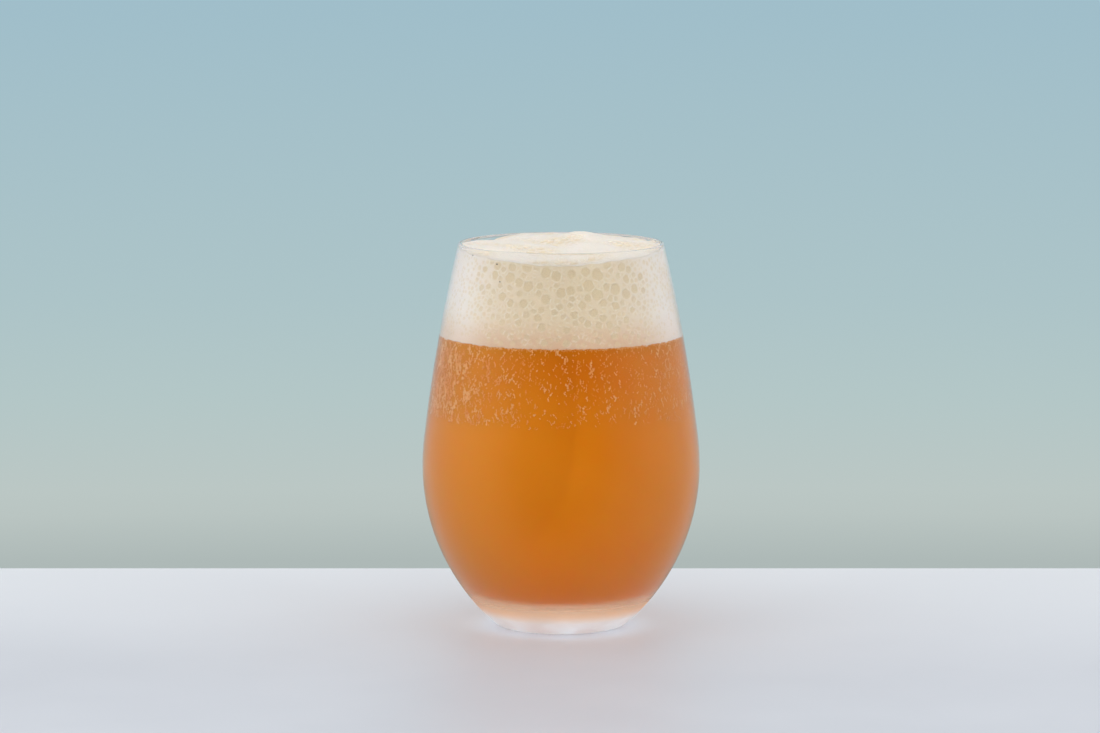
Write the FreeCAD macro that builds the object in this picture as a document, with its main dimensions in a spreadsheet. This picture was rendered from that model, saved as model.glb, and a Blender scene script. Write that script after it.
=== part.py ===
import FreeCAD, Part
import math
import os

import Sketcher
from FreeCAD import Vector

# A stemless, egg-shaped glass that holds a pint, filled with hazy amber beer under a thick head of foam.
# The origin is the centre of the foot, and +Z points up the axis of the glass. Lengths are millimetres.

SIZES = {
    "glass_height": 121.9,  # foot to rim
    "belly_radius": 43.9,  # widest outer radius
    "belly_height": 51.2,  # height of the widest point
    "belly_arc_radius": 78.4,  # outer curve just above the widest point
    "side_arc_radius": 538.0,  # outer curve of the tapering side
    "rim_inset": 11.5,  # how far the rim stands in from the widest point
    "foot_inset": 25.4,  # how far the flat of the foot ends in from the widest point
    "foot_corner_radius": 4.6,  # rounding between the foot and the bowl
    "belly_wall": 1.8,  # wall at the widest point
    "rim_wall": 1.4,  # wall at the rim
    "rim_round": 0.6,  # rounding of both edges of the rim
    "base_thickness": 11.6,  # solid glass under the beer
    "floor_inset": 8.5,  # how far the flat of the cavity's floor ends in from that of the foot
    "floor_corner_radius": 24.0,  # rounding between that floor and the wall
    "beer_level": 92.8,  # where the beer ends and the foam begins
    "foam_drop": 1.4,  # from the rim down to where the foam leaves the wall
    "foam_tilt": 1.0,  # how far that edge rises at its high side and falls opposite
    "foam_tilt_angle": 90.0,  # direction of the high side, in degrees from +X
    "foam_rise": 1.2,  # how far the head swells above its edge
    "foam_headroom": 12.0,  # space above the rim that the foam may rise into
}

# Swells and hollows of the foam's top: direction in degrees, distance from the axis as a share of the
# mouth's radius, width in millimetres, and height, which is negative in a hollow.
FOAM_MOUNDS = (
    (56, 0.32, 7.5, 2.7),
    (0, 0.95, 10.0, 0.7),
    (180, 0.95, 10.0, 0.6),
    (-90, 1.0, 18.0, -1.5),
    (142, 0.98, 5.0, -3.1),
    (-73, 0.73, 4.5, -2.0),
    (-125, 0.60, 7.0, 0.6),
    (110, 0.55, 7.0, 0.4),
)
FOAM_GRID = 25  # points along each side of the grid that the foam's top passes through
DOME_POWER = 1.6  # above 1 the head is flatter in the middle and turns down nearer the wall

# How a sketch names places: a curve's own points, the sketch's origin and its upright axis.
START, END, CENTRE = 1, 2, 3
ORIGIN = (-1, 1)
UP_AXIS = -2

doc = FreeCAD.newDocument("BeerGlass")
sheet = doc.addObject("Spreadsheet::Sheet", "Sizes")
for row, (alias, number) in enumerate(SIZES.items(), start=1):
    sheet.set(f"A{row}", alias)
    sheet.set(f"B{row}", str(number))
    sheet.setAlias(f"B{row}", alias)
doc.recompute()


def size(name, less=(), plus=()):
    """A size of the sheet as a number and an expression, with others taken off or added."""
    number = getattr(sheet, name)
    expression = f"Sizes.{name}"
    for other in less:
        number -= getattr(sheet, other)
        expression += f" - Sizes.{other}"
    for other in plus:
        number += getattr(sheet, other)
        expression += f" + Sizes.{other}"
    return number, expression


# The two outlines of the wall. Above the belly the cavity follows the outside at the wall's thickness.
# Its floor and its lower curve are its own.
OUTSIDE = {
    "flat": size("belly_radius", less=["foot_inset"]),
    "corner": size("foot_corner_radius"),
    "widest": size("belly_radius"),
    "widest_z": size("belly_height"),
    "belly_arc": size("belly_arc_radius"),
    "side_arc": size("side_arc_radius"),
    "rim": size("belly_radius", less=["rim_inset"]),
    "rim_z": size("glass_height"),
}
CAVITY = {
    "floor_z": size("base_thickness"),
    "flat": size("belly_radius", less=["foot_inset", "floor_inset"]),
    "corner": size("floor_corner_radius"),
    "widest": size("belly_radius", less=["belly_wall"]),
    "widest_z": size("belly_height"),
    "belly_arc": size("belly_arc_radius", less=["belly_wall"]),
    "side_arc": size("side_arc_radius", less=["belly_wall"]),
    "rim": size("belly_radius", less=["rim_inset", "rim_wall"]),
    "rim_z": size("glass_height"),
    "collar": size("foam_headroom"),
}


def add_sketch(body, name):
    """A sketch on the body's own XZ plane, whose upright axis is the axis of the glass."""
    plane = next(part for part in body.Origin.OriginFeatures if part.Role == "XZ_Plane")
    sketch = body.newObject("Sketcher::SketchObject", name)
    sketch.AttachmentSupport = (plane, "")
    sketch.MapMode = "FlatFace"
    return sketch


def constrain(sketch, kind, places, bound=None, name=None):
    """Add a constraint, and bind it to the sheet where it is a size."""
    if bound is None:
        sketch.addConstraint(Sketcher.Constraint(kind, *places))
        return
    number, expression = bound
    index = sketch.addConstraint(Sketcher.Constraint(kind, *places, number))
    sketch.renameConstraint(index, name)
    sketch.setExpression(f"Constraints.{name}", expression)


def add_lines(sketch, points):
    """Straight lines from each point to the next."""
    return [sketch.addGeometry(Part.LineSegment(*ends)) for ends in zip(points, points[1:])]


def add_arc(sketch, centre, radius, first, last):
    """An arc about a centre, from the first angle to the last."""
    circle = Part.Circle(centre, Vector(0, 0, 1), radius)
    return sketch.addGeometry(Part.ArcOfCircle(circle, first, last))


def direction(centre, point):
    """The angle at which a point is seen from a centre."""
    return math.atan2(point.y - centre.y, point.x - centre.x)


def side_arc_centre(belly_centre, belly_arc, side_arc, rim):
    """The centre of the arc that runs on smoothly from the belly's arc and passes through the rim."""
    along = rim - belly_centre
    distance = along.Length
    along.normalize()
    across = Vector(-along.y, along.x, 0)
    gap = side_arc - belly_arc
    ahead = (gap**2 - side_arc**2 + distance**2) / (2 * distance)
    aside = math.sqrt(gap**2 - ahead**2)
    return belly_centre + along * ahead + across * aside


def wall_outline(body, name, wall):
    """A closed outline: out along a floor, up four arcs that run smoothly into each other, and back down
    the axis. A collar, where there is one, goes straight up from the rim."""
    flat, corner, widest, widest_z, belly_arc, side_arc, rim, rim_z = (
        wall[key][0]
        for key in ("flat", "corner", "widest", "widest_z", "belly_arc", "side_arc", "rim", "rim_z")
    )
    floor_z = wall["floor_z"][0] if "floor_z" in wall else 0.0
    reach = widest - flat
    rise = widest_z - floor_z - corner
    bowl_arc = (reach**2 + rise**2 - corner**2) / (2 * (reach - corner))

    corner_centre = Vector(flat, floor_z + corner, 0)
    bowl_centre = Vector(widest - bowl_arc, widest_z, 0)
    belly_centre = Vector(widest - belly_arc, widest_z, 0)
    rim_point = Vector(rim, rim_z, 0)
    side_centre = side_arc_centre(belly_centre, belly_arc, side_arc, rim_point)
    bowl_first = direction(bowl_centre, corner_centre)
    side_first = direction(side_centre, belly_centre)
    side_last = direction(side_centre, rim_point)

    sketch = add_sketch(body, name)
    floor_points = [Vector(0, floor_z, 0), Vector(flat, floor_z, 0)]
    upper_points = [rim_point, Vector(0, rim_z, 0), floor_points[0]]
    if "collar" in wall:
        top_z = rim_z + wall["collar"][0]
        upper_points[1:2] = [Vector(rim, top_z, 0), Vector(0, top_z, 0)]
    (floor,) = add_lines(sketch, floor_points)
    corner_at = add_arc(sketch, corner_centre, corner, -math.pi / 2, bowl_first)
    bowl_at = add_arc(sketch, bowl_centre, bowl_arc, bowl_first, 0.0)
    belly_at = add_arc(sketch, belly_centre, belly_arc, 0.0, side_first)
    side_at = add_arc(sketch, side_centre, side_arc, side_first, side_last)
    upper = add_lines(sketch, upper_points)

    curve = [floor, corner_at, bowl_at, belly_at, side_at]
    for first, second in zip(curve, curve[1:]):
        constrain(sketch, "Tangent", (first, END, second, START))
    for first, second in zip([side_at] + upper, upper + [floor]):
        constrain(sketch, "Coincident", (first, END, second, START))
    constrain(sketch, "Horizontal", (floor,))
    constrain(sketch, "Horizontal", (upper[-2],))
    constrain(sketch, "PointOnObject", (upper[-1], START, UP_AXIS))
    if "collar" in wall:
        constrain(sketch, "Vertical", (upper[0],))
        constrain(sketch, "DistanceY", (upper[0], START, upper[0], END), wall["collar"], "collar")
    if "floor_z" in wall:
        constrain(sketch, "PointOnObject", (floor, START, UP_AXIS))
        constrain(sketch, "DistanceY", (*ORIGIN, floor, START), wall["floor_z"], "floor_z")
    else:
        constrain(sketch, "Coincident", (floor, START, *ORIGIN))
    constrain(sketch, "DistanceX", (floor, START, floor, END), wall["flat"], "flat")
    constrain(sketch, "Radius", (corner_at,), wall["corner"], "corner")
    constrain(sketch, "Radius", (belly_at,), wall["belly_arc"], "belly_arc")
    constrain(sketch, "Radius", (side_at,), wall["side_arc"], "side_arc")
    constrain(sketch, "Horizontal", (belly_at, CENTRE, belly_at, START))
    constrain(sketch, "DistanceX", (*ORIGIN, belly_at, START), wall["widest"], "widest")
    constrain(sketch, "DistanceY", (*ORIGIN, belly_at, START), wall["widest_z"], "widest_z")
    constrain(sketch, "DistanceX", (*ORIGIN, side_at, END), wall["rim"], "rim")
    constrain(sketch, "DistanceY", (*ORIGIN, side_at, END), wall["rim_z"], "rim_z")
    return sketch


def band_outline(body, name, top, bottom=None):
    """A rectangle from the axis out past the cavity, up to one height from another or from the foot."""
    width = size("belly_radius")
    bottom_z = bottom[0] if bottom else 0.0
    corners = [Vector(0, bottom_z, 0), Vector(width[0], bottom_z, 0), Vector(width[0], top[0], 0)]
    corners += [Vector(0, top[0], 0), corners[0]]

    sketch = add_sketch(body, name)
    sides = add_lines(sketch, corners)
    lower, outer, upper, axis = sides
    for first, second in zip(sides, sides[1:] + sides[:1]):
        constrain(sketch, "Coincident", (first, END, second, START))
    for level in (lower, upper):
        constrain(sketch, "Horizontal", (level,))
    for upright in (outer, axis):
        constrain(sketch, "Vertical", (upright,))
    if bottom:
        constrain(sketch, "PointOnObject", (lower, START, UP_AXIS))
        constrain(sketch, "DistanceY", (*ORIGIN, lower, START), bottom, "bottom")
    else:
        constrain(sketch, "Coincident", (lower, START, *ORIGIN))
    constrain(sketch, "DistanceX", (lower, START, lower, END), width, "width")
    constrain(sketch, "DistanceY", (*ORIGIN, axis, START), top, "top")
    return sketch


def turn(body, kind, name, sketch):
    """Turn a sketch round the axis of the glass, to add (Revolution) or to cut (Groove)."""
    feature = body.newObject(f"PartDesign::{kind}", name)
    feature.Profile = sketch
    feature.ReferenceAxis = (sketch, ["V_Axis"])
    feature.Angle = 360.0
    doc.recompute()
    return feature


def cut_out(body, name, sketch):
    """A groove, which has to leave something, and less than there was."""
    before = body.Shape.Volume
    groove = turn(body, "Groove", name, sketch)
    if not 0.0 < groove.Shape.Volume < 0.999 * before:
        raise RuntimeError(f"{name} does not cut {body.Label}")
    return groove


def make_glass():
    """The glass: its outside turned solid, the cavity turned out of it, and both edges of the rim rounded."""
    body = doc.addObject("PartDesign::Body", "glass")
    turn(body, "Revolution", "GlassOutside", wall_outline(body, "OutsideOutline", OUTSIDE))
    hollow = cut_out(body, "GlassCavity", wall_outline(body, "CavityOutline", CAVITY))
    rim_z = size("glass_height")[0]
    rim_edges = [
        f"Edge{index}"
        for index, edge in enumerate(hollow.Shape.Edges, start=1)
        if edge.Closed and abs(edge.BoundBox.ZMin - rim_z) < 0.01 and edge.BoundBox.ZLength < 0.01
    ]
    rounding = body.newObject("PartDesign::Fillet", "RimRounding")
    rounding.Base = (hollow, rim_edges)
    rounding.setExpression("Radius", size("rim_round")[1])
    doc.recompute()
    return body


def make_beer():
    """The beer: all that the cavity holds below the foam."""
    body = doc.addObject("PartDesign::Body", "beer")
    turn(body, "Revolution", "BeerBrimful", wall_outline(body, "BeerOutline", CAVITY))
    over_foam = size("glass_height", plus=["foam_headroom"])
    cut_out(body, "BeerLevel", band_outline(body, "BeerBand", over_foam, size("beer_level")))
    return body


def foam_top(x, y):
    """The height of the foam's top: a tilted edge, a swelling head, and its mounds and hollows."""
    mouth = CAVITY["rim"][0]
    tilt = math.radians(sheet.foam_tilt_angle)
    toward_high_side = (x * math.cos(tilt) + y * math.sin(tilt)) / mouth
    height = sheet.glass_height - sheet.foam_drop + sheet.foam_tilt * toward_high_side
    share = min(1.0, math.hypot(x, y) / mouth)
    height += sheet.foam_rise * (1.0 - share**2) ** (1.0 / DOME_POWER)
    for angle, distance, width, rise in FOAM_MOUNDS:
        mound_x = distance * mouth * math.cos(math.radians(angle))
        mound_y = distance * mouth * math.sin(math.radians(angle))
        height += rise * math.exp(-((math.hypot(x - mound_x, y - mound_y) / width) ** 2))
    return height


def make_foam_block():
    """A block with the foam's uneven top, wider than the cavity and reaching below the beer's level."""
    reach = size("belly_radius")[0]
    steps = [reach * (2.0 * index / (FOAM_GRID - 1) - 1.0) for index in range(FOAM_GRID)]
    surface = Part.BSplineSurface()
    surface.interpolate([[Vector(x, y, foam_top(x, y)) for y in steps] for x in steps])
    block = doc.addObject("Part::Feature", "FoamBlock")
    block.Shape = surface.toShape().extrude(Vector(0, 0, -sheet.glass_height))
    block.Placement = FreeCAD.Placement()
    return block


def make_foam():
    """The head of foam: the cavity above the beer, as high as the uneven top."""
    column = doc.addObject("PartDesign::Body", "FoamColumn")
    turn(column, "Revolution", "FoamBrimful", wall_outline(column, "FoamOutline", CAVITY))
    cut_out(column, "FoamBottom", band_outline(column, "FoamBand", size("beer_level")))
    foam = doc.addObject("Part::Common", "foam")
    foam.Base = column
    foam.Tool = make_foam_block()
    doc.recompute()
    return foam


nodes = [make_glass(), make_beer(), make_foam()]
doc.recompute()

for thing in doc.Objects:
    if "Invalid" in thing.State or "Error" in thing.State:
        raise RuntimeError(f"{thing.Name} did not rebuild: {thing.State}")
for node in nodes:
    if node.Shape.isNull() or not node.Shape.isValid() or len(node.Shape.Solids) != 1:
        raise RuntimeError(f"{node.Label} is not one valid solid")

os.makedirs("parts", exist_ok=True)
for node in nodes:
    node.Shape.exportStep(f"parts/{node.Label}.step")
    box = node.Shape.BoundBox
    print(f"{node.Label}: {node.Shape.Volume / 1000:.1f} ml, z {box.ZMin:.2f} to {box.ZMax:.2f} mm")
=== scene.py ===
import math

import bpy
import numpy as np
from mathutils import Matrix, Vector
from mathutils.bvhtree import BVHTree


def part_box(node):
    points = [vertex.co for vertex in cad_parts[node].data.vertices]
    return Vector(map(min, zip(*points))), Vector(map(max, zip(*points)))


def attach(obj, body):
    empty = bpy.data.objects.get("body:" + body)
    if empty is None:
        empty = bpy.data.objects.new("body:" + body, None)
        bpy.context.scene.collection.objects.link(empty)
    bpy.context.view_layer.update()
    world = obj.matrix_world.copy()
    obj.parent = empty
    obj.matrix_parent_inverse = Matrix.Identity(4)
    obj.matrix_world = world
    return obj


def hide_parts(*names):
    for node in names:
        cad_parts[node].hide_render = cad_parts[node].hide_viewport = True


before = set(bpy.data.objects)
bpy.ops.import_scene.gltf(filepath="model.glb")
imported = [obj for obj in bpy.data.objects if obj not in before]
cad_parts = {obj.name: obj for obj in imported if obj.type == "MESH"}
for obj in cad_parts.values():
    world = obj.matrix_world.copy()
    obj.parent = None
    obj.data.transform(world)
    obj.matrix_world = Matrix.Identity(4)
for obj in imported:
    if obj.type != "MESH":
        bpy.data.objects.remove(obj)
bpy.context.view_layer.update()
MM = 0.001
TURN = 2.0 * math.pi
FRONT = -0.5 * math.pi  # the direction of -Y, towards the camera
GLASS_IOR = 1.5
BEER_IOR = 1.34
WATER_IOR = 1.33

# ---------------------------------------------------------------------------------------------------
# What the frame says
# ---------------------------------------------------------------------------------------------------

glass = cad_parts["glass"]
RIM_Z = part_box("glass")[1].z
FLOOR_Z, LEVEL_Z = (corner.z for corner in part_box("beer"))
RIM_ROUNDING = 0.8 * MM  # the top of the wall, where its rounded edge leaves the cavity's outline
LEVEL_FACE = 0.98  # a face is level when its normal's upward share is more than this
INWARD_FACE = 0.02  # and faces the axis when its normal's share towards it is more than this


def cavity_outline():
    """Heights and radii of the glass's inside, floor to rim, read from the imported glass."""
    mesh = glass.data
    rows = {}
    for face in mesh.polygons:
        middle = face.center
        outward = max(math.hypot(middle.x, middle.y), 1e-9)
        toward_axis = -(face.normal.x * middle.x + face.normal.y * middle.y) / outward
        on_floor = face.normal.z > LEVEL_FACE and middle.z < LEVEL_Z
        if toward_axis > INWARD_FACE or on_floor:
            for index in face.vertices:
                place = mesh.vertices[index].co
                key = round(place.z / MM, 2)
                rows[key] = max(rows.get(key, 0.0), math.hypot(place.x, place.y))
    heights = sorted(key for key in rows if key * MM < RIM_Z - RIM_ROUNDING)
    return np.array(heights) * MM, np.array([rows[key] for key in heights])


CAVITY_Z, CAVITY_R = cavity_outline()


def cavity_radius(z):
    """The radius of the glass's inside at a height."""
    return np.interp(z, CAVITY_Z, CAVITY_R)


def smooth(low, high, value):
    """0 below low, 1 above high, and a smooth step between."""
    share = np.clip((value - low) / (high - low), 0.0, 1.0)
    return share * share * (3.0 - 2.0 * share)


# ---------------------------------------------------------------------------------------------------
# Materials
# ---------------------------------------------------------------------------------------------------


def linear(red, green, blue):
    """A colour as seen on a screen, 0 to 255, as the renderer's linear colour."""
    seen = np.array([red, green, blue]) / 255.0
    return tuple(np.where(seen <= 0.04045, seen / 12.92, ((seen + 0.055) / 1.055) ** 2.4)) + (1.0,)


class Shader:
    """A material's node tree, with short ways to add and join nodes."""

    def __init__(self, name):
        self.material = bpy.data.materials.new(name)
        self.material.use_nodes = True
        self.tree = self.material.node_tree
        self.tree.nodes.clear()
        self.output = self.tree.nodes.new("ShaderNodeOutputMaterial")

    def add(self, kind, **settings):
        """A node, its properties and then its sockets set; a socket set to a socket is joined to it."""
        node = self.tree.nodes.new("ShaderNode" + kind)
        for name, value in settings.items():
            if name.startswith("_"):
                setattr(node, name[1:], value)
        for name, value in settings.items():
            if not name.startswith("_"):
                self.put(node, name.replace("_", " "), value)
        return node

    def put(self, node, key, value):
        """Set a node's socket, by name or number, to a value, or join another socket to it."""
        socket = node.inputs[key]
        if isinstance(value, bpy.types.NodeSocket):
            self.tree.links.new(value, socket)
        else:
            socket.default_value = value

    def mix(self, share, first, second):
        """A colour between two, by a share."""
        node = self.tree.nodes.new("ShaderNodeMix")
        node.data_type = "RGBA"
        for index, value in ((0, share), (6, first), (7, second)):
            self.put(node, index, value)
        return node.outputs[2]

    def blend(self, share, first, second):
        """One shader laid over another, by a share."""
        node = self.tree.nodes.new("ShaderNodeMixShader")
        for index, value in enumerate((share, first.outputs[0], second.outputs[0])):
            self.put(node, index, value)
        return node.outputs[0]

    def maths(self, operation, first, second, clamp=False):
        """The result of an operation on two values."""
        node = self.tree.nodes.new("ShaderNodeMath")
        node.operation = operation
        node.use_clamp = clamp
        self.put(node, 0, first)
        self.put(node, 1, second)
        return node.outputs[0]

    def noise(self, scale, detail=2.0, rough=0.5):
        """Smooth noise about 0.5, with so many bumps to a metre."""
        node = self.tree.nodes.new("ShaderNodeTexNoise")
        self.put(node, "Vector", self.place())
        self.put(node, "Scale", scale)
        self.put(node, "Detail", detail)
        self.put(node, "Roughness", rough)
        return node.outputs["Fac"]

    def place(self):
        """Where a point of the piece is, in metres."""
        return self.add("TexCoord").outputs["Object"]

    def along(self, axis):
        """How far along X, Y or Z a point is."""
        return self.add("SeparateXYZ", Vector=self.place()).outputs[axis]

    def from_axis(self):
        """How far a point is from the axis of the glass."""
        flat = self.tree.nodes.new("ShaderNodeVectorMath")
        flat.operation = "MULTIPLY"
        self.put(flat, 0, self.place())
        self.put(flat, 1, (1.0, 1.0, 0.0))
        return self.add("VectorMath", _operation="LENGTH", Vector=flat.outputs[0]).outputs["Value"]

    def span(self, value, low, high, first=0.0, last=1.0):
        """A value mapped smoothly from one range to another."""
        node = self.tree.nodes.new("ShaderNodeMapRange")
        node.interpolation_type = "SMOOTHSTEP"
        for index, number in enumerate((value, low, high, first, last)):
            self.put(node, index, number)
        return node.outputs[0]

    def surface(self, shader):
        """Finish the material with its shader."""
        self.tree.links.new(shader, self.output.inputs["Surface"])
        return self.material


MILKY_BELOW = 4.0 * MM  # the glass's base is milky below this height
CLEAR_ABOVE = 13.0 * MM  # and clear above this one
LILAC_BELOW = 3.0 * MM  # the milk is lilac-white below this height
BEER_LIGHT_ABOVE = 8.0 * MM  # and takes the painted colour of the beer's light above this one
BASE_LILAC = (0.93, 0.97, 1.0, 1.0)
# painted light: the peach of the beer's light in the glass's milky base
BASE_BEER_LIGHT = (1.0, 0.62, 0.38, 1.0)


def glass_material():
    """Cold glass under a fine mist, which is thicker low down and makes the solid base milky. The milk has a
    painted glow of its own: lilac-white low down, with the peach of the beer's light painted in above.
    """
    shader = Shader("misted_glass")
    height = shader.along("Z")
    foot_mist = shader.span(height, 7.0 * MM, 14.0 * MM, 0.18, 0.08)
    wall_mist = shader.span(height, 45.0 * MM, 70.0 * MM, 0.12, 0.02)
    mist = shader.maths("ADD", foot_mist, wall_mist)
    body = shader.add("BsdfPrincipled", Transmission_Weight=1.0, Roughness=mist, IOR=GLASS_IOR)
    body.inputs["Base Color"].default_value = (0.995, 0.995, 0.995, 1.0)
    milk_and_glow = shader.mix(shader.span(height, LILAC_BELOW, BEER_LIGHT_ABOVE), BASE_LILAC, BASE_BEER_LIGHT)
    glowing_drops = shader.add("BsdfPrincipled", Base_Color=milk_and_glow, Roughness=0.6, IOR=WATER_IOR, Emission_Color=milk_and_glow)
    # painted glow: the milky base gives off a little light of its own
    glowing_drops.inputs["Emission Strength"].default_value = 0.10
    cover = shader.span(height, MILKY_BELOW, CLEAR_ABOVE, 0.72, 0.0)
    uneven = shader.span(shader.noise(90.0, 3.0, 0.6), 0.3, 0.7, 0.75, 1.15)
    return shader.surface(shader.blend(shader.maths("MULTIPLY", cover, uneven), body, glowing_drops))


BEER_MIDDLE = linear(218, 129, 8)
BEER_TOP = linear(209, 114, 8)
# painted light: brighter amber near the floor, against the shade there
BEER_FLOOR_LIT = linear(240, 133, 8)
BEER_CLOUD = linear(226, 143, 30)
# painted light: the yellow glow of light shining through the beer's thin left and right sides
BEER_SIDE_GLOW = linear(230, 153, 34)


def beer_colour(shader):
    """Amber: deeper near the foam and yellower in its clouds, with painted light that makes it brighter near
    the floor and yellower at the left and right sides.
    """
    height = shader.along("Z")
    colour = shader.mix(shader.span(height, 62.0 * MM, LEVEL_Z), BEER_MIDDLE, BEER_TOP)
    # painted light near the floor
    colour = shader.mix(shader.span(height, FLOOR_Z, 50.0 * MM), BEER_FLOOR_LIT, colour)
    cloud = shader.span(shader.noise(28.0), 0.35, 0.75, 0.0, 0.40)
    colour = shader.mix(cloud, colour, BEER_CLOUD)
    # painted light at the left and right sides
    aside = shader.along("X")
    left = shader.span(aside, -34.0 * MM, 4.0 * MM, 0.50, 0.0)
    right = shader.span(aside, 18.0 * MM, 40.0 * MM, 0.0, 0.35)
    return shader.mix(shader.maths("ADD", left, right), colour, BEER_SIDE_GLOW)


def beer_material():
    """Hazy amber beer behind glass. Glass bends light more than beer does, so at a low angle it is mirrored
    where the two meet, as it is under the beer's floor."""
    shader = Shader("hazy_beer")
    body = shader.add("BsdfPrincipled", Base_Color=beer_colour(shader), Roughness=0.45, IOR=BEER_IOR)
    body.inputs["Specular IOR Level"].default_value = 0.1
    body.inputs["Subsurface Weight"].default_value = 0.5
    body.inputs["Subsurface Radius"].default_value = (1.0, 0.45, 0.12)
    body.inputs["Subsurface Scale"].default_value = 12.0 * MM
    mirror = shader.add("BsdfGlossy", Color=(1.0, 0.91, 0.72, 1.0), Roughness=0.03)
    angle = shader.add("Fresnel", IOR=BEER_IOR / GLASS_IOR).outputs[0]
    clear = shader.span(shader.from_axis(), 12.0 * MM, 30.0 * MM, 0.85, 0.62)
    return shader.surface(shader.blend(shader.maths("MULTIPLY", angle, clear), body, mirror))


FOAM_CREAM = linear(248, 245, 242), linear(244, 240, 234)
FOAM_BEIGE = linear(237, 225, 202), linear(230, 216, 187)
# painted shade: the darker, yellower inside of an open cell
FOAM_PIT_SHADE = linear(229, 211, 177)
FOAM_RIDGE = linear(248, 243, 232)
# painted light: the beer's warm light on the foam's lower part
FOAM_BEER_GLOW = linear(222, 185, 154)
GLOW_HEIGHT = 0.35  # how far up the foam the painted light of the beer reaches, as a share


def foam_colour(shader):
    """White where the foam is fine and beige where it is coarse, with painted shade, darker and yellower,
    where a bubble opens, white ridges, and the beer's light painted on low down."""
    pit, ridge, coarse = (
        shader.add("Attribute", _attribute_name=name).outputs["Fac"] for name in ("pit", "ridge", "coarse")
    )
    cream = shader.mix(shader.noise(60.0, 3.0, 0.6), *FOAM_CREAM)
    beige = shader.mix(shader.noise(90.0, 3.0, 0.6), *FOAM_BEIGE)
    colour = shader.mix(coarse, cream, beige)
    glow_top = LEVEL_Z + GLOW_HEIGHT * (RIM_Z - LEVEL_Z)
    glow = shader.span(shader.along("Z"), LEVEL_Z, glow_top, 0.72, 0.10)
    glow = shader.maths("MULTIPLY", glow, shader.maths("ADD", coarse, 0.25, clamp=True))
    colour = shader.mix(glow, colour, FOAM_BEER_GLOW)
    # painted shade in the open cells
    colour = shader.mix(shader.maths("MULTIPLY", pit, 0.85), colour, FOAM_PIT_SHADE)
    return shader.mix(shader.maths("MULTIPLY", ridge, 0.7), colour, FOAM_RIDGE)


def foam_material():
    """Foam, with a fine grain of the smallest bubbles."""
    shader = Shader("beer_foam")
    fine = shader.add("TexVoronoi", Scale=1900.0, Vector=shader.place())
    wide = shader.add("TexVoronoi", Scale=900.0, Vector=shader.place())
    grain = shader.maths("ADD", fine.outputs["Distance"], wide.outputs["Distance"])
    bump = shader.add("Bump", Strength=0.35, Distance=0.25 * MM, Height=grain)
    body = shader.add("BsdfPrincipled", Base_Color=foam_colour(shader), Roughness=0.55, IOR=WATER_IOR)
    shader.put(body, "Normal", bump.outputs[0])
    body.inputs["Subsurface Weight"].default_value = 0.35
    body.inputs["Subsurface Radius"].default_value = (1.0, 0.75, 0.5)
    body.inputs["Subsurface Scale"].default_value = 1.5 * MM
    return shader.surface(body.outputs[0])


def bubble_material():
    """Small bubbles on the wall: pale, with the beer's colour in them."""
    shader = Shader("wall_bubble")
    share = shader.span(shader.noise(240.0, 1.0), 0.35, 0.65)
    colour = shader.mix(share, linear(238, 162, 84), linear(246, 190, 124))
    body = shader.add("BsdfPrincipled", Base_Color=colour, Roughness=0.25, IOR=WATER_IOR)
    return shader.surface(body.outputs[0])


def speck_material():
    """Dark specks on the foam."""
    shader = Shader("dark_speck")
    colour = shader.mix(shader.noise(900.0), linear(58, 46, 34), linear(84, 70, 52))
    body = shader.add("BsdfPrincipled", Base_Color=colour, Roughness=0.7)
    return shader.surface(body.outputs[0])


FLOOR_COLOURS = (0.62, 0.655, 0.715, 1.0), (0.66, 0.695, 0.755, 1.0)
# painted light: the floor's far edge paler, as if better lit
FLOOR_FAR_LIT = (0.82, 0.86, 0.91, 1.0)


def floor_material():
    """A plain, pale, slightly uneven painted top, with painted light that makes it paler towards its far
    edge.
    """
    shader = Shader("pale_floor")
    colour = shader.mix(shader.span(shader.noise(9.0, 3.0), 0.3, 0.7), *FLOOR_COLOURS)
    # painted light towards the far edge
    colour = shader.mix(shader.span(shader.along("Y"), -0.10, 0.11), colour, FLOOR_FAR_LIT)
    body = shader.add("BsdfPrincipled", Base_Color=colour, Roughness=0.5)
    return shader.surface(body.outputs[0])


# ---------------------------------------------------------------------------------------------------
# Making pieces
# ---------------------------------------------------------------------------------------------------


def make_piece(name, points, faces, material, replaces=None):
    """A smooth mesh piece that rides on the glass's body."""
    mesh = bpy.data.meshes.new(name)
    mesh.from_pydata([tuple(point) for point in points], [], faces)
    mesh.validate()
    mesh.shade_smooth()
    mesh.materials.append(material)
    piece = bpy.data.objects.new(name, mesh)
    bpy.context.scene.collection.objects.link(piece)
    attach(piece, "root")
    if replaces:
        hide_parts(replaces)
    return piece


def grid_faces(rows, columns, first_tip, last_tip):
    """Quads round a closed grid of rows from bottom to top, closed by a fan to a tip at each end."""
    faces = []
    for row in range(rows - 1):
        for column in range(columns):
            beside = (column + 1) % columns
            low, high = row * columns, (row + 1) * columns
            faces.append((low + column, low + beside, high + beside, high + column))
    for column in range(columns):
        beside = (column + 1) % columns
        last = (rows - 1) * columns
        faces.append((first_tip, beside, column))
        faces.append((last_tip, last + column, last + beside))
    return faces


# ---------------------------------------------------------------------------------------------------
# The beer
# ---------------------------------------------------------------------------------------------------

REACH = 0.15 * MM  # how far the beer and the foam go into the wall
BEER_COLUMNS = 240


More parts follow.
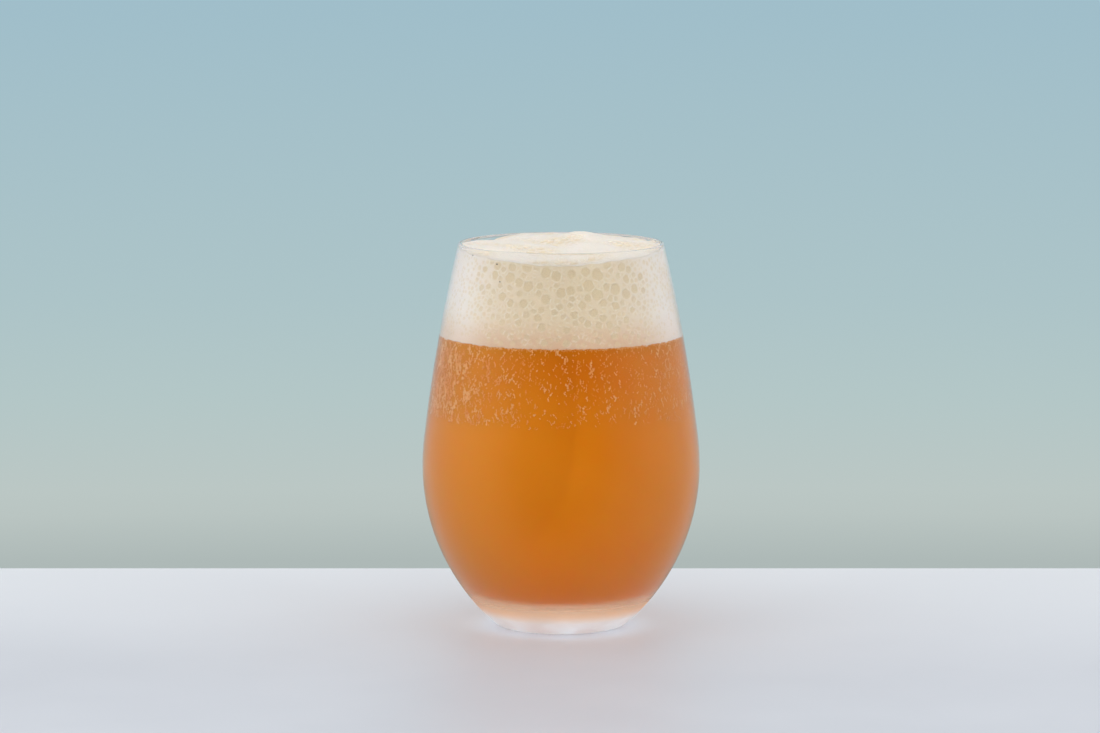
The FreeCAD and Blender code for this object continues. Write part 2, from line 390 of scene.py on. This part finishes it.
def make_beer():
    """The beer, to just inside the glass's wall and floor, with its top under the foam."""
    below = CAVITY_Z < LEVEL_Z - 0.2 * MM
    radii = np.append(CAVITY_R[below], cavity_radius(LEVEL_Z))
    levels = np.append(CAVITY_Z[below], LEVEL_Z)
    run, rise = np.gradient(radii), np.gradient(levels)
    run[0], rise[0] = 1.0, 0.0
    length = np.hypot(run, rise)
    floor_radii = np.linspace(0.1, 0.9, 9) * radii[0]
    radii = np.concatenate([floor_radii, radii + REACH * rise / length])
    levels = np.concatenate([np.full(len(floor_radii), FLOOR_Z - REACH), levels - REACH * run / length])
    turns = np.arange(BEER_COLUMNS) / BEER_COLUMNS * TURN
    points = [
        (radius * math.cos(turn), radius * math.sin(turn), level)
        for radius, level in zip(radii, levels)
        for turn in turns
    ]
    tips = len(points)
    points += [(0.0, 0.0, FLOOR_Z - REACH), (0.0, 0.0, LEVEL_Z)]
    faces = grid_faces(len(radii), BEER_COLUMNS, tips, tips + 1)
    make_piece("beer_fill", points, faces, beer_material(), "beer")


# ---------------------------------------------------------------------------------------------------
# The foam
# ---------------------------------------------------------------------------------------------------

FOAM_COLUMNS = 920  # points round the foam's side
SIDE_ROWS = 106  # and up it
CROWN_GRID = 300  # points along each side of the top's grid
MOUTH_R = float(cavity_radius(RIM_Z))
SIDE_LENGTH = TURN * 0.5 * (MOUTH_R + float(cavity_radius(LEVEL_Z)))  # round the foam's side
NEAR_WALL = 0.985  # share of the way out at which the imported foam's height is taken
FOAM_PROUD = 0.06 * MM  # keeps the foam's lower edge in front of the beer
CELL_DEPTH = 0.25 * MM  # of the cells against the glass
TOP_CELL_DEPTH = 0.45 * MM
SKIRT = 1.5 * MM  # how far the crown reaches down inside the head
CORE_Z = 0.5 * (LEVEL_Z + RIM_Z)  # where the head is closed on the axis
RAY_Z = RIM_Z + 0.03  # above the foam
SIZE_SPREAD = 0.82, 1.15  # how a bubble's radius varies
BIN = 4.2 * MM  # wider than any bubble reaches
FAR = 1.0  # farther than any bubble


def waves(angle, seed, highest):
    """Smooth random ups and downs round the glass, mostly between -1 and 1, fewer than highest to a turn."""
    draw = np.random.default_rng(seed)
    total = np.zeros_like(angle)
    for count in range(2, highest):
        total += draw.normal() * np.cos(count * angle + draw.uniform(0, TURN)) / math.sqrt(highest - 2)
    return total


foam_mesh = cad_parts["foam"].data
FOAM_TREE = BVHTree.FromPolygons(
    [vertex.co for vertex in foam_mesh.vertices], [tuple(face.vertices) for face in foam_mesh.polygons]
)


def foam_height(x, y):
    """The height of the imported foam's top at a place."""
    return FOAM_TREE.ray_cast(Vector((x, y, RAY_Z)), Vector((0, 0, -1)))[0].z


def scatter_bubbles(draw, sizes, spots, allowed, wrap, gap):
    """Discs that do not overlap, large ones first. spots(draw, tries) gives places, allowed(places) gives the
    largest radius at each, and wrap is the length after which the first coordinate repeats, or None."""
    kept = np.zeros((0, 3))
    for radius, tries in sizes:
        places = spots(draw, tries)
        limits = allowed(places)
        radii = radius * draw.uniform(*SIZE_SPREAD, tries)
        for place, limit, own in zip(places, limits, radii):
            if own > limit:
                continue
            if len(kept):
                across = np.abs(kept[:, 0] - place[0])
                if wrap:
                    across = np.minimum(across, wrap - across)
                if np.any(np.hypot(across, kept[:, 1] - place[1]) < kept[:, 2] + own + gap):
                    continue
            kept = np.vstack([kept, [place[0], place[1], own]])
    return kept


def cell_field(places, bubbles, wrap=None):
    """For each place: how far it is inside the nearest bubble's cell, that bubble's radius, and how far
    outside its disc it lies. Bubbles are looked up in square bins."""
    inside = np.full(len(places), -FAR)
    radius = np.zeros(len(places))
    outside = np.full(len(places), FAR)
    low = places.min(axis=0) - BIN
    across = int(math.ceil((places[:, 0].max() + BIN - low[0]) / BIN)) + 1
    spread = bubbles
    if wrap:
        spread = np.vstack([bubbles, bubbles + [wrap, 0, 0], bubbles - [wrap, 0, 0]])
    home = ((spread[:, :2] - low) // BIN).astype(int)
    bins = {}
    for index, (column, row) in enumerate(home):
        for step_x in (-1, 0, 1):
            for step_y in (-1, 0, 1):
                bins.setdefault((column + step_x, row + step_y), []).append(index)
    own = ((places - low) // BIN).astype(int)
    keys = own[:, 1] * (across + 3) + own[:, 0]
    order = np.argsort(keys, kind="stable")
    edges = np.flatnonzero(np.diff(keys[order])) + 1
    for group in np.split(order, edges):
        near = bins.get((own[group[0], 0], own[group[0], 1]))
        if not near:
            continue
        chosen = spread[near]
        apart = places[group][:, None, :] - chosen[:, :2]
        away = np.hypot(apart[:, :, 0], apart[:, :, 1]) - chosen[:, 2]
        nearest = away.argmin(axis=1)
        rows = np.arange(len(group))
        first = away[rows, nearest]
        away[rows, nearest] = FAR
        second = away.min(axis=1)
        inside[group] = 0.5 * (second - first)
        radius[group] = chosen[nearest, 2]
        outside[group] = first
    return inside, radius, outside


PATCH_HALF = 0.85  # half the width of the coarse patch in front, in radians
CELL_SIZES = (2.0, 160), (1.5, 330), (1.15, 600), (0.85, 1000), (0.62, 1500), (0.45, 1800), (0.34, 1500)
TOP_SIZES = (1.2, 500), (0.9, 1100), (0.65, 2400), (0.45, 5000), (0.32, 9000)  # radius in mm, and tries
CELL_GAP = 0.04 * MM  # the film between two of the side's cells
TOP_GAP = 0.02 * MM
FINE_CELL = 0.34  # radius of the cells of creamy foam, in mm
DEEP_CELL = 1.1 * MM  # radius from which a cell is as deep as any


def coarse_share(turn, share):
    """How coarse the foam is at the glass: 1 in a patch of large cells in front, less in loose patches
    elsewhere, and 0 where it is creamy."""
    from_front = np.angle(np.exp(1j * (turn - FRONT - 0.02)))
    front = np.exp(-((from_front / PATCH_HALF) ** 4))
    patches = 0.55 * waves(turn, 31, 9)
    patches += 0.75 * np.cos(5.0 * share + 4.0 * turn + 2.0 * np.sin(3.0 * turn))
    elsewhere = 0.45 * smooth(-0.4, 1.3, patches) * smooth(0.8, 1.6, np.abs(from_front))
    return np.clip(front + elsewhere, 0.0, 1.0)


def side_bubbles():
    """Bubbles of the foam where it lies against the glass, on the side rolled flat."""
    high = RIM_Z - LEVEL_Z

    def spots(draw, count):
        return np.column_stack([draw.uniform(0, SIDE_LENGTH, count), draw.uniform(0.0, high, count)])

    def allowed(places):
        share = places[:, 1] / high
        coarse = coarse_share(places[:, 0] / SIDE_LENGTH * TURN, share)
        largest = 1.1 + 0.85 * smooth(0.30, 0.65, share)
        return MM * (FINE_CELL + (largest - FINE_CELL) * coarse) * smooth(-0.03, 0.06, share)

    sizes = [(radius * MM, tries) for radius, tries in CELL_SIZES]
    return scatter_bubbles(np.random.default_rng(11), sizes, spots, allowed, SIDE_LENGTH, CELL_GAP)


def top_bubbles():
    """Bubbles that show on the foam's top, seen from above."""

    def spots(draw, count):
        return draw.uniform(-MOUTH_R, MOUTH_R, (count, 2))

    def allowed(places):
        in_mouth = np.hypot(*places.T) < MOUTH_R
        return MM * (0.30 + 1.3 * top_patches(places[:, 0], places[:, 1])) * in_mouth

    sizes = [(radius * MM, tries) for radius, tries in TOP_SIZES]
    return scatter_bubbles(np.random.default_rng(12), sizes, spots, allowed, None, TOP_GAP)


def swirl(x, y, across, along, first, second):
    """Crossed waves that bend each other, between -1 and 1. across and along are their closeness, and first
    and second are the waves that bend them, each as (closeness, shift, bend, start)."""
    bend_x = first[2] * np.sin(y * first[0] + first[3])
    bend_y = second[2] * np.sin(x * second[0] + second[3])
    return np.sin(x * across + first[1] + bend_x) * np.sin(y * along + second[1] + bend_y)


def top_patches(x, y):
    """Where the foam's top is coarse, from 0 to 1: loose patches and a broken border near the glass."""
    away = np.hypot(x, y) / MOUTH_R
    lie = swirl(x, y, 170.0, 210.0, (120.0, 1.3, 1.4, 0.0), (140.0, 0.4, 1.2, 2.0))
    patch = smooth(-0.25, 1.0, lie)
    border = 0.45 * smooth(0.75, 0.98, away) * smooth(-0.6, 0.4, lie)
    return patch + border * (1.0 - patch)


def top_relief(x, y):
    """The lumps, folds and fine grain of the foam's top, in metres."""
    lumps = swirl(x, y, 330.0, 290.0, (260.0, 0.7, 1.5, 0.0), (310.0, 1.9, 1.3, 0.0))
    folds = np.sin(x * 120.0 + y * 310.0 + 2.2 * np.sin(x * 190.0 + 0.5))
    fine = swirl(x, y, 2100.0, 2300.0, (900.0, 0.0, 3.0, 0.0), (800.0, 0.0, 3.0, 1.0))
    return MM * (0.30 * lumps + 0.18 * folds + 0.035 * fine)


def add_values(piece, values):
    """Numbers at the piece's points that its material reads."""
    for name, numbers in values.items():
        layer = piece.data.attributes.new(name, "FLOAT", "POINT")
        layer.data.foreach_set("value", np.clip(numbers, 0.0, 1.0).astype(np.float32))


def foam_edge(turns):
    """Where the foam leaves the glass, round the glass."""
    reach = NEAR_WALL * MOUTH_R
    heights = np.array([foam_height(reach * math.cos(turn), reach * math.sin(turn)) for turn in turns])
    return heights + 0.22 * MM * waves(turns, 41, 40)


def foam_foot(turns):
    """Where the foam ends on the beer, round the glass: a ragged line a little under the beer's level."""
    ragged = 0.30 * np.abs(waves(turns, 42, 60)) + 0.22 * np.abs(waves(turns, 43, 160))
    return LEVEL_Z - 0.12 * MM - MM * ragged


def make_foam_head():
    """The foam against the glass, with the relief of its cells."""
    turns = np.arange(FOAM_COLUMNS) / FOAM_COLUMNS * TURN
    edge_z = foam_edge(turns)
    foot_z = foam_foot(turns)
    share = np.linspace(0.0, 1.0, SIDE_ROWS)[:, None]
    side_z = foot_z + (edge_z - foot_z) * share
    side_turn = np.broadcast_to(turns, side_z.shape)
    flat = np.column_stack([side_turn.ravel() / TURN * SIDE_LENGTH, (side_z - LEVEL_Z).ravel()])
    inside, radius, outside = cell_field(flat, side_bubbles(), SIDE_LENGTH)
    fade = smooth(0.0, 0.06, share) * smooth(0.0, 0.05, 1.0 - share)
    open_cell = smooth(0.02 * MM, 0.22 * MM, inside) * smooth(0.30 * MM, -0.05 * MM, outside)
    pit = (open_cell * np.clip(radius / DEEP_CELL, 0.45, 1.0)).reshape(side_z.shape) * fade
    ridge = smooth(0.28 * MM, 0.0, inside) * smooth(0.4 * MM, 0.0, outside)
    ridge = (ridge * np.clip(radius / (0.8 * MM), 0.15, 1.0)).reshape(side_z.shape) * fade

    side_r = cavity_radius(side_z) + REACH - CELL_DEPTH * pit
    side_r += FOAM_PROUD * (1.0 - smooth(0.0, 0.1, share))
    side_r[0] -= 0.4 * MM
    side_r -= 0.25 * MM * smooth(0.97, 1.0, share)
    around_x, around_y = side_r * np.cos(turns), side_r * np.sin(turns)
    points = np.column_stack([around_x.ravel(), around_y.ravel(), side_z.ravel()])
    tips = len(points)
    points = np.vstack([points, [(0.0, 0.0, LEVEL_Z)], [(0.0, 0.0, CORE_Z)]])
    faces = grid_faces(SIDE_ROWS, FOAM_COLUMNS, tips, tips + 1)
    piece = make_piece("foam_head", points, faces, bpy.data.materials["beer_foam"], "foam")
    values = {"pit": pit, "ridge": ridge, "coarse": coarse_share(side_turn, share)}
    add_values(piece, {name: np.append(numbers.ravel(), [0, 0]) for name, numbers in values.items()})


def round_grid(count):
    """A square grid drawn out to a disc of radius 1, as distances from its middle and directions."""
    steps = np.linspace(-1.0, 1.0, count)
    u, v = np.meshgrid(steps, steps, indexing="ij")
    x, y = u * np.sqrt(1.0 - 0.5 * v**2), v * np.sqrt(1.0 - 0.5 * u**2)
    return np.hypot(x, y), np.arctan2(y, x)


def skirted_faces(count, first, tip):
    """A square grid's quads, its border in order, and the faces of a skirt that runs to a tip below."""
    order = np.arange(count * count).reshape(count, count)
    quads = np.stack([order[:-1, :-1], order[1:, :-1], order[1:, 1:], order[:-1, 1:]], axis=-1)
    faces = [tuple(quad) for quad in quads.reshape(-1, 4).tolist()]
    last = count - 1
    border = np.concatenate([order[:-1, 0], order[last, :-1], order[:0:-1, last], order[0, :0:-1]])
    for index in range(len(border)):
        after = (index + 1) % len(border)
        faces.append((int(border[index]), first + index, first + after, int(border[after])))
        faces.append((first + index, tip, first + after))
    return faces, border


def make_foam_crown():
    """The foam's uneven top: a square grid drawn out to the round of the glass, with a skirt under it."""
    away, turn = round_grid(CROWN_GRID)
    ring = np.linspace(-math.pi, math.pi, FOAM_COLUMNS)
    edge_z = np.interp(turn, ring, foam_edge(ring))
    edge_r = cavity_radius(edge_z) + 0.3 * REACH
    x, y = edge_r * away * np.cos(turn), edge_r * away * np.sin(turn)
    under = zip(x.ravel() * NEAR_WALL, y.ravel() * NEAR_WALL)
    packed = np.array([foam_height(*place) for place in under]).reshape(x.shape)
    blend = 1.0 - smooth(0.90, 1.0, away)
    inside, radius, outside = cell_field(np.column_stack([x.ravel(), y.ravel()]), top_bubbles())
    open_cell = smooth(0.0, 0.2 * MM, inside) * smooth(0.12 * MM, -0.12 * MM, outside)
    pit = (open_cell * np.clip(radius / DEEP_CELL, 0.25, 1.0)).reshape(x.shape) * blend
    z = edge_z + (packed - edge_z + top_relief(x, y) - TOP_CELL_DEPTH * pit) * blend

    points = np.column_stack([x.ravel(), y.ravel(), z.ravel()])
    first = len(points)
    tip = first + 4 * (CROWN_GRID - 1)
    faces, border = skirted_faces(CROWN_GRID, first, tip)
    skirt = points[border] * [0.99, 0.99, 1.0] - [0.0, 0.0, SKIRT]
    points = np.vstack([points, skirt, [(0.0, 0.0, CORE_Z - SKIRT)]])
    piece = make_piece("foam_crown", points, faces, bpy.data.materials["beer_foam"], "foam")
    ridge = 0.4 * smooth(0.15 * MM, 0.0, inside) * smooth(0.2 * MM, 0.0, outside)
    values = {"pit": 0.7 * pit, "ridge": ridge, "coarse": 0.30 * top_patches(x, y) + 0.28}
    rest = np.zeros(len(border) + 1)
    add_values(piece, {name: np.append(numbers.ravel(), rest) for name, numbers in values.items()})


# ---------------------------------------------------------------------------------------------------
# Bubbles on the wall
# ---------------------------------------------------------------------------------------------------

BAND_LOW_Z = 68.5 * MM  # where the band of bubbles ends
RUNS = 5200
DENSEST = math.pi + 0.38  # the direction in which the band is densest, to the left
FRINGE_COUNT = 2600


def dome(sides=6):
    """A small low dome with its base on the XY plane and radius 1, as points and faces."""
    points, faces = [], []
    for height, radius in ((0.0, 1.0), (0.62, 0.78)):
        for index in range(sides):
            angle = index * TURN / sides
            points.append((radius * math.cos(angle), radius * math.sin(angle), height))
    points += [(0.0, 0.0, 0.95), (0.0, 0.0, 0.0)]
    for i in range(sides):
        j = (i + 1) % sides
        faces += [(i, j, sides + j, sides + i), (sides + i, sides + j, 2 * sides), (j, i, 2 * sides + 1)]
    return np.array(points), faces


def put_domes(name, places, material):
    """Domes on the inside of the wall at (turn, height, radius), pointing out, as one piece."""
    shape, shape_faces = dome()
    probe = 0.5 * MM  # half the height over which the wall's slope is measured
    points, faces = [], []
    for turn, height, radius in places:
        slope = float(cavity_radius(height + probe) - cavity_radius(height - probe)) / (2.0 * probe)
        outward = Vector((math.cos(turn), math.sin(turn), -slope)).normalized()
        across = Vector((-math.sin(turn), math.cos(turn), 0.0))
        upward = outward.cross(across)
        wall = float(cavity_radius(height)) + REACH
        base = Vector((wall * math.cos(turn), wall * math.sin(turn), height)) - outward * 0.25 * radius
        start = len(points)
        for x, y, z in shape:
            points.append(base + (across * x + upward * y + outward * z * 0.8) * radius)
        faces += [tuple(start + index for index in face) for face in shape_faces]
    make_piece(name, points, faces, material)


def wall_bubbles():
    """Short runs of tiny bubbles that touch, in a band of the wall below the foam, densest to the left."""
    draw = np.random.default_rng(21)
    places = []
    for _ in range(RUNS):
        turn = draw.uniform(0, TURN)
        from_densest = np.angle(np.exp(1j * (turn - DENSEST)))
        thick = 0.55 + 0.45 * np.exp(-((from_densest / 0.60) ** 2))
        if draw.uniform() > thick + 0.10 * float(waves(np.array([turn]), 45, 24)[0]):
            continue
        low = BAND_LOW_Z + 0.7 * MM * float(waves(np.array([turn]), 44, 20)[0])
        z = draw.uniform(low, LEVEL_Z - 0.4 * MM)
        radius = MM * thick * float(np.clip(draw.lognormal(math.log(0.24), 0.42), 0.10, 0.55))
        lean = draw.normal(0.0, 0.3)
        for _ in range(int(draw.integers(1, 8))):
            if not low < z < LEVEL_Z - 0.3 * MM:
                break
            own = radius * draw.uniform(0.5, 1.5)
            places.append((turn, z, own))
            lean = 0.5 * lean + draw.normal(0.0, 0.85)
            z -= own * draw.uniform(0.5, 1.9)
            turn += own * lean / float(cavity_radius(z))
    put_domes("wall_bubbles", places, bubble_material())


def foam_fringe():
    """Small bubbles where the foam's lower edge meets the beer."""
    draw = np.random.default_rng(22)
    places = []
    for _ in range(FRINGE_COUNT):
        turn = draw.uniform(0, TURN)
        below = abs(draw.normal(0.0, 0.38 * MM))
        places.append((turn, LEVEL_Z - 0.10 * MM - below, MM * draw.uniform(0.07, 0.22)))
    put_domes("foam_fringe", places, bpy.data.materials["wall_bubble"])


# Each speck's direction in radians, height as a share of the foam's, and radius in millimetres.
SPECKS = (-2.17, 0.68, 0.24), (-2.23, 0.86, 0.27), (-2.59, 0.92, 0.22)


def make_specks():
    """The few dark specks on the foam."""
    places = [(turn, LEVEL_Z + share * (RIM_Z - LEVEL_Z), radius * MM) for turn, share, radius in SPECKS]
    put_domes("foam_specks", places, speck_material())


# ---------------------------------------------------------------------------------------------------
# Stage, light and camera
# ---------------------------------------------------------------------------------------------------

TABLE_EDGE_Y = 0.102  # how far behind the glass the floor ends
TABLE_DEPTH = 8.0
TABLE_WIDTH = 12.0
TABLE_THICK = 0.04
TABLE_GAP = 0.2 * MM  # keeps the floor clear of the glass's foot


def make_stage():
    """A plain pale floor that ends a little behind the glass."""
    near_y, half = TABLE_EDGE_Y - TABLE_DEPTH, TABLE_WIDTH / 2
    outline = (-half, near_y), (half, near_y), (half, TABLE_EDGE_Y), (-half, TABLE_EDGE_Y)
    corners = [(x, y, z) for z in (-TABLE_THICK, -TABLE_GAP) for x, y in outline]
    faces = [(0, 3, 2, 1), (4, 5, 6, 7)] + [(i, (i + 1) % 4, (i + 1) % 4 + 4, i + 4) for i in range(4)]
    mesh = bpy.data.meshes.new("floor")
    mesh.from_pydata(corners, [], faces)
    mesh.materials.append(floor_material())
    floor = bpy.data.objects.new("floor", mesh)
    bpy.context.scene.collection.objects.link(floor)
    floor.visible_glossy = False


# The backdrop's colours, by the angle above level in degrees.
BACKDROP = (
    (-12.0, linear(160, 170, 167)),
    (-9.9, linear(174, 185, 183)),
    (-9.2, linear(188, 199, 196)),
    (-8.0, linear(180, 199, 199)),
    (-6.8, linear(173, 196, 200)),
    (-3.3, linear(160, 190, 202)),
    (14.0, linear(190, 208, 216)),
    (50.0, linear(212, 218, 224)),
)
# The room that the glass mirrors: its brightness from the front (-1) round to the back (1).
ROOM = (
    (-1.0, (0.05, 0.05, 0.05, 1.0)),
    (-0.85, (0.10, 0.10, 0.10, 1.0)),
    (-0.60, (0.32, 0.32, 0.32, 1.0)),
    (-0.20, (0.56, 0.55, 0.55, 1.0)),
    (0.40, (0.68, 0.67, 0.67, 1.0)),
    (1.0, (0.68, 0.67, 0.67, 1.0)),
)
BACKDROP_LOWEST = -0.25  # the direction's Z at which the backdrop's ramp begins
BACKDROP_FROM, BACKDROP_FULL = 0.80, 0.95  # the direction's Y over which the room gives way to the backdrop


def add_ramp(tree, value, low, high, stops):
    """A colour ramp between two values, with its stops at places between them."""
    share = tree.nodes.new("ShaderNodeMapRange")
    share.inputs[1].default_value = low
    share.inputs[2].default_value = high
    tree.links.new(value, share.inputs[0])
    node = tree.nodes.new("ShaderNodeValToRGB")
    tree.links.new(share.outputs[0], node.inputs[0])
    elements = node.color_ramp.elements
    while len(elements) < len(stops):
        elements.new(0.5)
    for element, (position, colour) in zip(elements, stops):
        element.position = (position - low) / (high - low)
        element.color = colour
    return node.outputs["Color"]


def add_choice(tree, share, first, second):
    """A colour between two, by a share."""
    node = tree.nodes.new("ShaderNodeMix")
    node.data_type = "RGBA"
    for index, value in ((0, share), (6, first), (7, second)):
        tree.links.new(value, node.inputs[index])
    return node.outputs[2]


def make_world():
    """Soft light from all round. The camera sees a pale blue-grey backdrop, and the glass mirrors a room that
    is bright at the sides and the back and dim towards the front."""
    world = bpy.data.worlds.new("studio")
    bpy.context.scene.world = world
    world.use_nodes = True
    tree = world.node_tree
    where = tree.nodes.new("ShaderNodeTexCoord")
    split = tree.nodes.new("ShaderNodeSeparateXYZ")
    tree.links.new(where.outputs["Generated"], split.inputs[0])
    stops = [(math.sin(math.radians(angle)), colour) for angle, colour in BACKDROP]
    backdrop = add_ramp(tree, split.outputs["Z"], BACKDROP_LOWEST, 1.0, stops)
    room = add_ramp(tree, split.outputs["Y"], -1.0, 1.0, ROOM)
    behind = tree.nodes.new("ShaderNodeMapRange")
    behind.inputs[1].default_value = BACKDROP_FROM
    behind.inputs[2].default_value = BACKDROP_FULL
    tree.links.new(split.outputs["Y"], behind.inputs[0])
    mirrored = add_choice(tree, behind.outputs[0], room, backdrop)
    rays = tree.nodes.new("ShaderNodeLightPath")
    seen = add_choice(tree, rays.outputs["Is Camera Ray"], mirrored, backdrop)
    tree.links.new(seen, tree.nodes["Background"].inputs["Color"])


LIGHT_SIZE = 1.6
LIGHT_AIM = 0.0, 0.0, 0.06
ABOVE = -0.2, 0.1, 1.5
ROUND_AWAY, ROUND_Z = 2.0, 0.7  # where the lights round the glass stand
# Each of those lights: its direction from the glass in degrees, and its power in watts.
ROUND = (
    ("front_left", -145.0, 14.5),
    ("front", -90.0, 23.0),
    ("front_right", -35.0, 14.5),
    ("back", 90.0, 8.0),
)


def add_light(name, place, power, mirrored):
    """A square soft light that points at the glass, and that the glass mirrors or not."""
    lamp = bpy.data.lights.new(name, "AREA")
    lamp.size = LIGHT_SIZE
    lamp.energy = power
    light = bpy.data.objects.new(name, lamp)
    light.location = place
    light.rotation_euler = (Vector(LIGHT_AIM) - Vector(place)).to_track_quat("-Z", "Y").to_euler()
    light.visible_glossy = mirrored
    light.visible_transmission = mirrored
    bpy.context.scene.collection.objects.link(light)


def make_lights():
    """Large soft lights above and all round. Those round the glass light what is in it without a mirror
    image, and the glass casts no shadow on it."""
    add_light("above", ABOVE, 2.1, True)
    for name, turn, power in ROUND:
        angle = math.radians(turn)
        add_light(name, (ROUND_AWAY * math.cos(angle), ROUND_AWAY * math.sin(angle), ROUND_Z), power, False)
    glass.visible_shadow = False


CAMERA_AWAY = 1.511  # in front of the glass's axis
CAMERA_Z = 0.2845
CAMERA_ASIDE = -0.0035
CAMERA_PITCH = 7.614  # degrees down
CAMERA_LENS = 157.83  # millimetres, on a picture SENSOR_WIDTH wide
SENSOR_WIDTH = 36.0


def make_camera():
    """A long lens from the front, a little above the glass."""
    lens = bpy.data.cameras.new("camera")
    lens.lens = CAMERA_LENS
    lens.sensor_width = SENSOR_WIDTH
    camera = bpy.data.objects.new("camera", lens)
    camera.location = (CAMERA_ASIDE, -CAMERA_AWAY, CAMERA_Z)
    camera.rotation_euler = (math.radians(90.0 - CAMERA_PITCH), 0.0, 0.0)
    bpy.context.scene.collection.objects.link(camera)
    bpy.context.scene.camera = camera


# ---------------------------------------------------------------------------------------------------
# The scene
# ---------------------------------------------------------------------------------------------------

glass.data.materials[0] = glass_material()
make_beer()
foam_material()
make_foam_head()
make_foam_crown()
wall_bubbles()
foam_fringe()
make_specks()
make_stage()
make_world()
make_lights()
make_camera()
bpy.context.scene.view_settings.view_transform = "Standard"
bpy.context.scene.cycles.use_denoising = True
